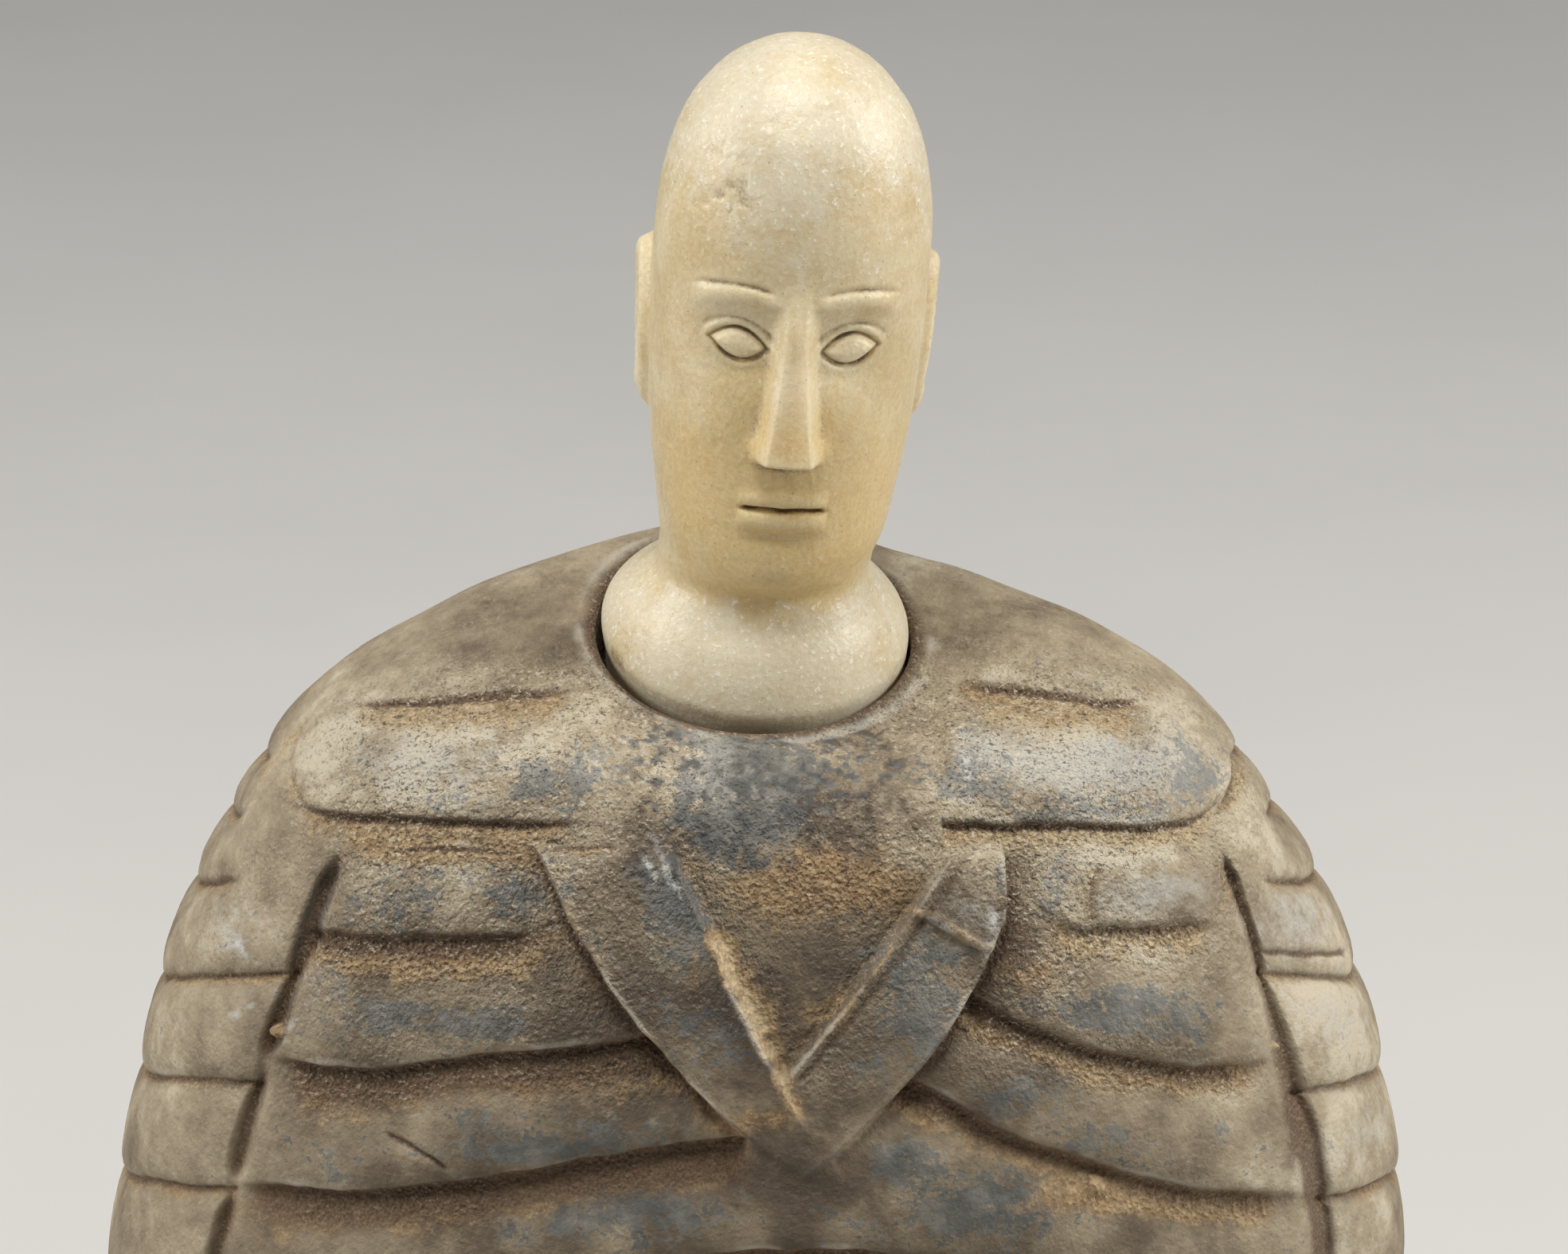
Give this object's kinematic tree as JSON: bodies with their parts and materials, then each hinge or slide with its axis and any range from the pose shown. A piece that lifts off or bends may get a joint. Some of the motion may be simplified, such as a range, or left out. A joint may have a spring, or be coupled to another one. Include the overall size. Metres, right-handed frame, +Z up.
{
  "type": "composite stone idol",
  "caption": "Seated robed figure in dark stone with carved flounces and crossed lapels, its bald head of pale stone a separate piece whose flared neck stands in a socket.",
  "frame": {"origin": "on the underside, below the middle of the bounding box", "axes": "+Z up through the head, the figure faces -Y, +X to the viewer's right from in front"},
  "size_m": [0.1138, 0.067, 0.1467],
  "materials": {
    "body_stone": "hand-rubbed dark blue-grey stone under a matt tan burial crust",
    "head_stone": "worn satin cream stone, slightly translucent"
  },
  "bodies": {
    "root": {"robed_body": "body_stone", "head": "head_stone"}
  },
  "joints": []
}
